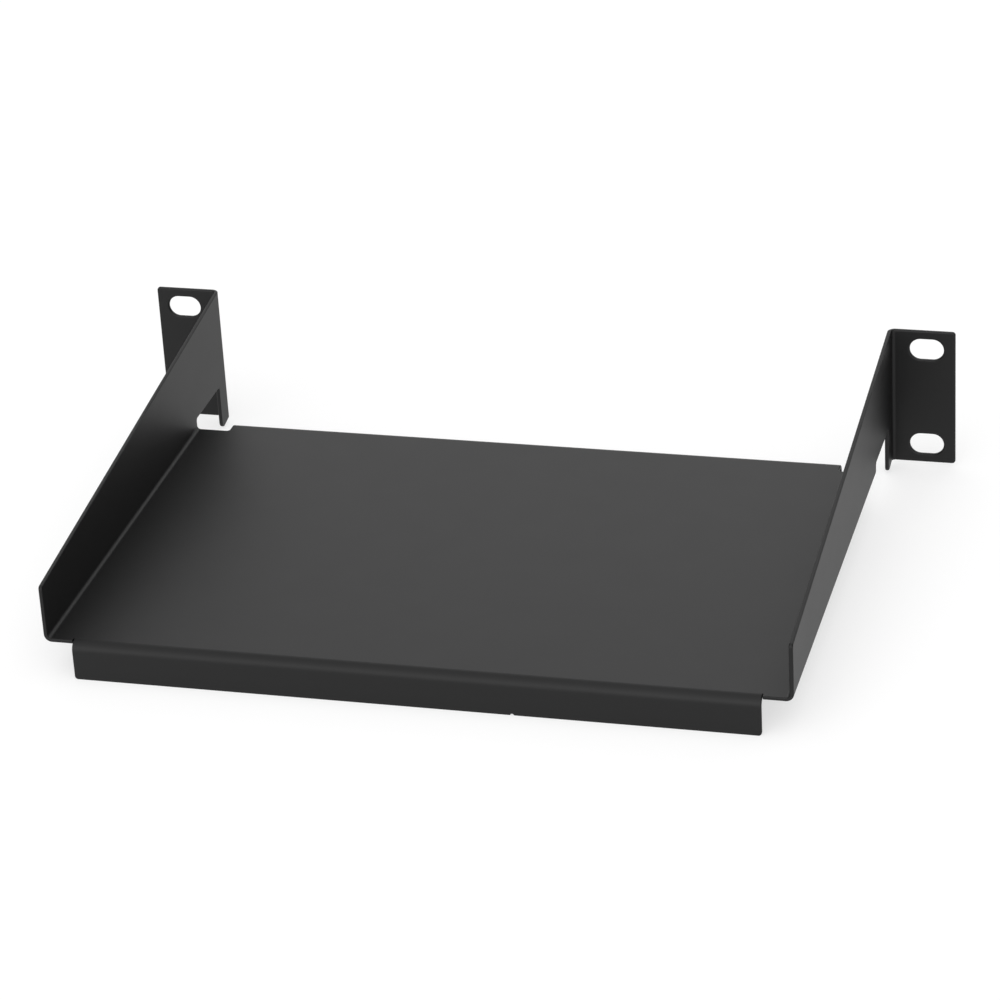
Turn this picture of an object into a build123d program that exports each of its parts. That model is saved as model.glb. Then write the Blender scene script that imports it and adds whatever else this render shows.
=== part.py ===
from build123d import *

import os

# Rack shelf for a ten-inch rack, one unit high, folded from a single steel sheet.
# The origin is the centre of the four mounting slots, on the face of the ears that
# meets the rack. +X runs across the rack, +Y from the tray towards the ears, +Z up.
# All sizes are in millimetres.

# Sheet
sheet = 1.2                    # thickness
bend_inner = 1.1               # inside radius of the walls' and the ears' folds
bend_outer = bend_inner + sheet
edge_round = 0.3               # rounding of the cut edges under the coat
outer_edge_round = 0.5         # the same on the walls' outer side, where the cut began

# Ears and their slots
overall_width = 254.0          # across both ears
ear_width = 19.3               # from the wall's outer face to the ear's outer edge
ear_height = 44.0
hole_inset = 8.7375            # from the ear's outer edge to the slots' centres
hole_end_inset = 6.125         # from the ear's upper or lower edge to a slot's centre
slot_length = 10.4
slot_height = 6.8
ear_corner = 1.0               # corner radius
kink_round = 3.0               # where the sloping edges run into the ear's edges

# Tray and side walls
tray_rise = 10.3               # of the tray's upper face above the ears' lower edge
tray_reach = 166.3             # from the ears' face to the tray's front corners
wall_front_height = 16.5       # above the tray's upper face
wall_corner = 1.2              # radius at the top of the wall's front edge

# Gap between the tray and the ear, cut through the fold and the foot of the wall
gap_start = 30.0               # from the ears' face to the gap's front edge
gap_height = 3.3               # above the tray's upper face
gap_corner = 0.8               # inside corner radius
strip_width = 7.3              # of the strip left beside the ear, from the ears' face
strip_drop = 1.0               # of the strip's foot below the ear's lower edge
strip_corner = 1.8             # radius at the strip's foot

# Lips folded down along the front and rear edges of the tray
lip_height = 11.7              # from the tray's upper face to the lip's lower edge
lip_bend_inner = 1.7           # inside radius of the lips' folds
lip_bend_outer = lip_bend_inner + sheet
lip_corner = 1.0
front_lip_offset = 1.6         # of the lip's outer face past the tray's front corners
front_lip_inset = 8.75         # of each end from the wall's outer face
rear_lip_reach = 23.8          # from the ears' face to the lip's outer face
rear_lip_inset = 11.5
rear_tab_root = 1.0            # radius where the rear lip's sides leave the tray
relief_width = 0.2             # slit beside each end of the front lip
relief_margin = 0.05           # of the slit past the start of the fold
nick_offset = 29.0             # of the small nick in the front lip, right of the middle
nick_radius = 0.6

# Heights and places that follow
shelf_width = overall_width - 2 * ear_width
hole_spacing_x = overall_width - 2 * hole_inset
hole_spacing_z = ear_height - 2 * hole_end_inset
half_shelf = shelf_width / 2
half_overall = overall_width / 2
ear_top = ear_height / 2
ear_bottom = -ear_height / 2
strip_bottom = ear_bottom - strip_drop
tray_top = ear_bottom + tray_rise
tray_bottom = tray_top - sheet
lip_bottom = tray_top - lip_height
gap_top = tray_top + gap_height
front_lip_reach = tray_reach + front_lip_offset
front_lip_width = shelf_width - 2 * front_lip_inset
rear_lip_width = shelf_width - 2 * rear_lip_inset
tray_middle = -(tray_reach + gap_start) / 2

# Working values that aren't sizes of the shelf
cut_depth = 4 * sheet          # of cuts made through the sheet from its middle
near = 0.01                    # tolerance when edges are picked by their place
sharp_cosine = 0.7             # of the angle between faces that meet at a sharp edge


def folded_section(plane, corners, radius, inward):
    """Section of a folded strip, from the corners of its convex face."""
    with BuildSketch(plane) as section:
        with BuildLine():
            FilletPolyline(*corners, radius=radius)
            offset(amount=sheet, side=inward)
        make_face()
    return section.sketch


def tray_and_walls():
    """Channel of the tray and both side walls, still square along the top."""
    corners = [
        (-half_shelf, ear_top),
        (-half_shelf, tray_bottom),
        (half_shelf, tray_bottom),
        (half_shelf, ear_top),
    ]
    section = folded_section(Plane.XZ.offset(gap_start), corners, bend_outer, Side.LEFT)
    return extrude(section, amount=tray_reach - gap_start)


def ear_bracket():
    """Rear end of the right wall with the ear folded outwards from it."""
    inner_face = half_shelf - sheet
    corners = [(inner_face, -gap_start), (inner_face, sheet), (half_overall, sheet)]
    section = folded_section(Plane.XY.offset(strip_bottom), corners, bend_outer, Side.RIGHT)
    return extrude(section, amount=ear_top - strip_bottom)


def side_outline():
    """Space inside the shelf's side view: slanted wall, ear, strip and gap."""
    corners = [
        (-tray_reach, tray_bottom),
        (-tray_reach, tray_top + wall_front_height),
        (-bend_inner, ear_top),
        (sheet, ear_top),
        (sheet, ear_bottom),
        (-bend_inner, ear_bottom),
        (-strip_width, strip_bottom),
        (-strip_width, gap_top),
        (-gap_start, gap_top),
        (-gap_start, tray_bottom),
    ]
    radii = [
        0, wall_corner, kink_round, 0, 0, kink_round, strip_corner, gap_corner, gap_corner, 0
    ]
    with BuildSketch(Plane.YZ) as outline:
        with BuildLine():
            FilletPolyline(*corners, radius=radii, close=True)
        make_face()
    return extrude(outline.sketch, amount=half_overall, both=True)


def lip(width, outer_y, inward):
    """Lip folded down from the tray's edge, with the tray up to its middle."""
    corners = [(outer_y, lip_bottom), (outer_y, tray_top), (tray_middle, tray_top)]
    section = folded_section(Plane.YZ, corners, lip_bend_outer, inward)
    folded = extrude(section, amount=width / 2, both=True)
    lower_edges = folded.edges().filter_by(Axis.Y).group_by(Axis.Z)[0]
    return fillet(lower_edges, radius=lip_corner)


def mounting_slots():
    """The four slots that take the rack's screws."""
    with BuildSketch(Plane.XZ) as slots:
        with GridLocations(hole_spacing_x, hole_spacing_z, 2, 2):
            SlotOverall(slot_length, slot_height)
    return extrude(slots.sketch, amount=cut_depth, both=True)


def front_clearance():
    """Room for the front lip and the slits beside it, cut into the tray's front edge."""
    lip_fold_start = -(front_lip_reach - lip_bend_outer)
    with BuildSketch(Plane.XY.offset(tray_top)) as clearance:
        with Locations((0, lip_fold_start + relief_margin)):
            Rectangle(
                front_lip_width + 2 * relief_width,
                2 * lip_bend_outer,
                align=(Align.CENTER, Align.MAX),
            )
    return extrude(clearance.sketch, amount=cut_depth, both=True)


def front_nick():
    """Half-round nick in the lower edge of the front lip."""
    with BuildSketch(Plane.XZ.offset(front_lip_reach)) as nick:
        with Locations((nick_offset, lip_bottom)):
            Circle(nick_radius)
    return extrude(nick.sketch, amount=cut_depth, both=True)


def sharp_edges(body):
    """Edges where two faces meet at a sharp angle, unlike the tangent lines of a fold."""
    faces_beside = {}
    for face in body.faces():
        for edge in face.edges():
            faces_beside.setdefault(edge, []).append(face)
    sharp = []
    for edge, faces in faces_beside.items():
        middle = edge @ 0.5
        normals = [face.normal_at(middle) for face in faces]
        if len(normals) == 2 and normals[0].dot(normals[1]) < sharp_cosine:
            sharp.append(edge)
    return sharp


def rounded_rims(body):
    """Body with its cut edges rounded, first the rims on the walls' outer side."""
    rims = sharp_edges(body)
    outer_edges = {
        edge
        for loop in Wire.combine(rims)
        if loop.bounding_box().max.Y < near
        for edge in loop.edges()
    }
    body = fillet([edge for edge in rims if edge in outer_edges], radius=outer_edge_round)
    return fillet(sharp_edges(body), radius=edge_round)


def folded_shelf():
    right_ear = ear_bracket()
    left_ear = mirror(right_ear, about=Plane.YZ)
    body = (tray_and_walls() + right_ear + left_ear) & side_outline()
    ear_corner_edges = [
        edge
        for edge in body.edges().filter_by(Axis.Y)
        if abs(abs(edge.center().X) - half_overall) < near
    ]
    body = fillet(ear_corner_edges, radius=ear_corner)
    body += lip(rear_lip_width, -rear_lip_reach, Side.LEFT)
    rear_root_edges = [
        edge
        for edge in body.edges().filter_by(Axis.Z)
        if abs(abs(edge.center().X) - rear_lip_width / 2) < near
        and abs(edge.center().Y + gap_start) < near
    ]
    body = fillet(rear_root_edges, radius=rear_tab_root)
    body -= mounting_slots()
    body = rounded_rims(body)

    front_lip = lip(front_lip_width, -front_lip_reach, Side.RIGHT)
    lip_rims = [edge for edge in sharp_edges(front_lip) if edge.center().Y < tray_middle - near]
    body -= front_clearance()
    body += fillet(lip_rims, radius=edge_round)
    return body - front_nick()


os.makedirs("parts", exist_ok=True)
shelf = folded_shelf()
export_step(shelf, "parts/folded_shelf.step")
box = shelf.bounding_box()
print("solids", len(shelf.solids()), "volume", round(shelf.volume, 1))
print("box", box.min, box.max)
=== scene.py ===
import math

import bpy
from mathutils import Matrix, Vector


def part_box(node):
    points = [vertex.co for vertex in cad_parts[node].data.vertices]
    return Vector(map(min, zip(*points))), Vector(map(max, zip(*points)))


# A black powder-coated rack shelf on a plain pale floor, seen from above the corner of
# its right wall. Lengths are in metres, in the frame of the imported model.

MM = 0.001

# Camera: where it looks, from how far, and how it is turned
CAMERA_TARGET = Vector((-5.6, -44.8, -21.7)) * MM
CAMERA_DISTANCE = 1192.5 * MM
CAMERA_AZIMUTH = math.radians(15.757)
CAMERA_ELEVATION = math.radians(26.99)
CAMERA_ROLL = math.radians(-3.317)
SENSOR_WIDTH = 36.0            # millimetres of film across the square picture
FOCAL_LENGTH = 140.95          # millimetres
CLIP_DISTANCE = 16.0

# Light: a lit ceiling, one softbox behind the shelf, a larger one in front of it and dark
# sides. A height is the sine of the angle above the horizon.
CEILING = 1.6                  # brightness straight above
BACK_SOFTBOX = 2.6
BACK_SOFTBOX_HEIGHT = 0.35
BACK_SHADE = 0.5               # between the softbox and the ceiling
BACK_SHADE_HEIGHT = 0.65
FRONT_SOFTBOX = 3.1
FRONT_SOFTBOX_HEIGHT = 0.3     # the softbox reaches up to here from the horizon
SIDE_SHADE_HEIGHT = 0.6        # the sides are dark up to here
SKY_SCALE = 4.0                # the ramps hold the brightness divided by this

# Floor: a table lit from below, so that it looks white and its shadow stays faint
FLOOR_SIZE = 8.0
FLOOR_COLOUR = (0.35, 0.35, 0.35, 1.0)
FLOOR_LIGHT = (1.0, 1.0, 1.0, 1.0)
FLOOR_GLOW = 0.63

# Powder coat: a fine grain in its colour and surface, and faint patches in its gloss
COAT_DARK = (0.0005, 0.0005, 0.0006, 1.0)
COAT_LIGHT = (0.0015, 0.0015, 0.0016, 1.0)
COAT_SMOOTH = 0.49             # roughness of the smoothest patches
COAT_ROUGH = 0.51              # roughness of the roughest ones
COAT_IOR = 1.38
GRAIN_PER_METRE = 2600.0
GRAIN_HEIGHT = 0.03 * MM
GRAIN_STRENGTH = 0.2
PATCHES_PER_METRE = 90.0
NOISE_DETAIL = 2.0


def new_material(name):
    material = bpy.data.materials.new(name)
    material.use_nodes = True
    tree = material.node_tree
    shader = tree.nodes["Principled BSDF"]
    return material, tree, shader


def noise(tree, place, per_metre):
    texture = tree.nodes.new("ShaderNodeTexNoise")
    texture.inputs["Scale"].default_value = per_metre
    texture.inputs["Detail"].default_value = NOISE_DETAIL
    tree.links.new(place.outputs["Object"], texture.inputs["Vector"])
    return texture


def powder_coat():
    material, tree, shader = new_material("black_powder_coat")
    place = tree.nodes.new("ShaderNodeTexCoord")
    grain = noise(tree, place, GRAIN_PER_METRE)
    patches = noise(tree, place, PATCHES_PER_METRE)

    colour = tree.nodes.new("ShaderNodeValToRGB")
    colour.color_ramp.elements[0].color = COAT_DARK
    colour.color_ramp.elements[1].color = COAT_LIGHT
    tree.links.new(grain.outputs["Fac"], colour.inputs["Fac"])
    tree.links.new(colour.outputs["Color"], shader.inputs["Base Color"])

    roughness = tree.nodes.new("ShaderNodeMapRange")
    roughness.inputs["To Min"].default_value = COAT_SMOOTH
    roughness.inputs["To Max"].default_value = COAT_ROUGH
    tree.links.new(patches.outputs["Fac"], roughness.inputs["Value"])
    tree.links.new(roughness.outputs["Result"], shader.inputs["Roughness"])

    bump = tree.nodes.new("ShaderNodeBump")
    bump.inputs["Strength"].default_value = GRAIN_STRENGTH
    bump.inputs["Distance"].default_value = GRAIN_HEIGHT
    tree.links.new(grain.outputs["Fac"], bump.inputs["Height"])
    tree.links.new(bump.outputs["Normal"], shader.inputs["Normal"])
    shader.inputs["IOR"].default_value = COAT_IOR
    return material


def dress_shelf(node, material):
    node.data.materials.clear()
    node.data.materials.append(material)


def make_floor(height):
    bpy.ops.mesh.primitive_plane_add(size=FLOOR_SIZE, location=(0, 0, height))
    floor = bpy.context.object
    floor.name = "floor"
    material, tree, shader = new_material("pale_floor")
    shader.inputs["Base Color"].default_value = FLOOR_COLOUR
    shader.inputs["Roughness"].default_value = 1.0
    shader.inputs["Specular IOR Level"].default_value = 0.0
    shader.inputs["Emission Color"].default_value = FLOOR_LIGHT
    shader.inputs["Emission Strength"].default_value = FLOOR_GLOW
    floor.data.materials.append(material)


def brightness_ramp(tree, height, levels):
    """Brightness at a height, from pairs of a height and its brightness."""
    ramp = tree.nodes.new("ShaderNodeValToRGB")
    stops = ramp.color_ramp.elements
    while len(stops) < len(levels):
        stops.new(0.5)
    for stop, (position, level) in zip(stops, levels):
        stop.position = position
        stop.color = (level / SKY_SCALE, level / SKY_SCALE, level / SKY_SCALE, 1)
    tree.links.new(height, ramp.inputs["Fac"])
    return ramp.outputs["Color"]


def calculate(tree, operation, first, second):
    node = tree.nodes.new("ShaderNodeMath")
    node.operation = operation
    tree.links.new(first, node.inputs[0])
    if second is not None:
        tree.links.new(second, node.inputs[1])
    return node.outputs["Value"]


def blend(tree, share, first, second):
    node = tree.nodes.new("ShaderNodeMix")
    tree.links.new(share, node.inputs["Factor"])
    tree.links.new(first, node.inputs["A"])
    tree.links.new(second, node.inputs["B"])
    return node.outputs["Result"]


def make_sky():
    """Soft studio light that changes with the height, and from the back to the front."""
    world = bpy.data.worlds.new("soft_studio")
    world.use_nodes = True
    tree = world.node_tree
    place = tree.nodes.new("ShaderNodeTexCoord")
    split = tree.nodes.new("ShaderNodeSeparateXYZ")
    tree.links.new(place.outputs["Generated"], split.inputs["Vector"])
    across, along, height = split.outputs
    across_squared = calculate(tree, "MULTIPLY", across, across)
    along_squared = calculate(tree, "MULTIPLY", along, along)
    level_squared = calculate(tree, "ADD", across_squared, along_squared)
    along_share = calculate(tree, "DIVIDE", along_squared, level_squared)
    is_back = calculate(tree, "SIGN", along, None)
    front = brightness_ramp(
        tree, height, [(FRONT_SOFTBOX_HEIGHT, FRONT_SOFTBOX), (1, CEILING)]
    )
    back = brightness_ramp(
        tree,
        height,
        [
            (0, 0),
            (BACK_SOFTBOX_HEIGHT, BACK_SOFTBOX),
            (BACK_SHADE_HEIGHT, BACK_SHADE),
            (1, CEILING),
        ],
    )
    side = brightness_ramp(tree, height, [(SIDE_SHADE_HEIGHT, 0), (1, CEILING)])
    ends = blend(tree, is_back, front, back)
    sky = blend(tree, along_share, side, ends)
    tree.links.new(sky, tree.nodes["Background"].inputs["Color"])
    tree.nodes["Background"].inputs["Strength"].default_value = SKY_SCALE
    bpy.context.scene.world = world


def make_camera():
    data = bpy.data.cameras.new("camera")
    data.sensor_fit = "HORIZONTAL"
    data.sensor_width = SENSOR_WIDTH
    data.lens = FOCAL_LENGTH
    data.clip_end = CLIP_DISTANCE
    camera = bpy.data.objects.new("camera", data)
    bpy.context.collection.objects.link(camera)
    level = Vector((math.cos(CAMERA_AZIMUTH), math.sin(CAMERA_AZIMUTH), 0))
    forward = Vector(
        (
            -math.sin(CAMERA_AZIMUTH) * math.cos(CAMERA_ELEVATION),
            math.cos(CAMERA_AZIMUTH) * math.cos(CAMERA_ELEVATION),
            -math.sin(CAMERA_ELEVATION),
        )
    )
    upright = level.cross(forward)
    right = math.cos(CAMERA_ROLL) * level + math.sin(CAMERA_ROLL) * upright
    up = math.cos(CAMERA_ROLL) * upright - math.sin(CAMERA_ROLL) * level
    place = Matrix((right, up, -forward)).transposed().to_4x4()
    place.translation = CAMERA_TARGET - CAMERA_DISTANCE * forward
    camera.matrix_world = place
    bpy.context.scene.camera = camera


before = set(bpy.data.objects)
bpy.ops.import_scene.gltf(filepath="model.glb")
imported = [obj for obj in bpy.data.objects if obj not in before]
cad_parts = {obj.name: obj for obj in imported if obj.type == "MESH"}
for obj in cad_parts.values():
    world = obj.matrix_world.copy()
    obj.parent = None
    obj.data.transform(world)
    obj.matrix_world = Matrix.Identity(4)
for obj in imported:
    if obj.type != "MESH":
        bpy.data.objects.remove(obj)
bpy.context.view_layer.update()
make_camera()
make_sky()
dress_shelf(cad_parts["folded_shelf"], powder_coat())
make_floor(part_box("folded_shelf")[0][2])
bpy.context.scene.view_settings.view_transform = "Standard"
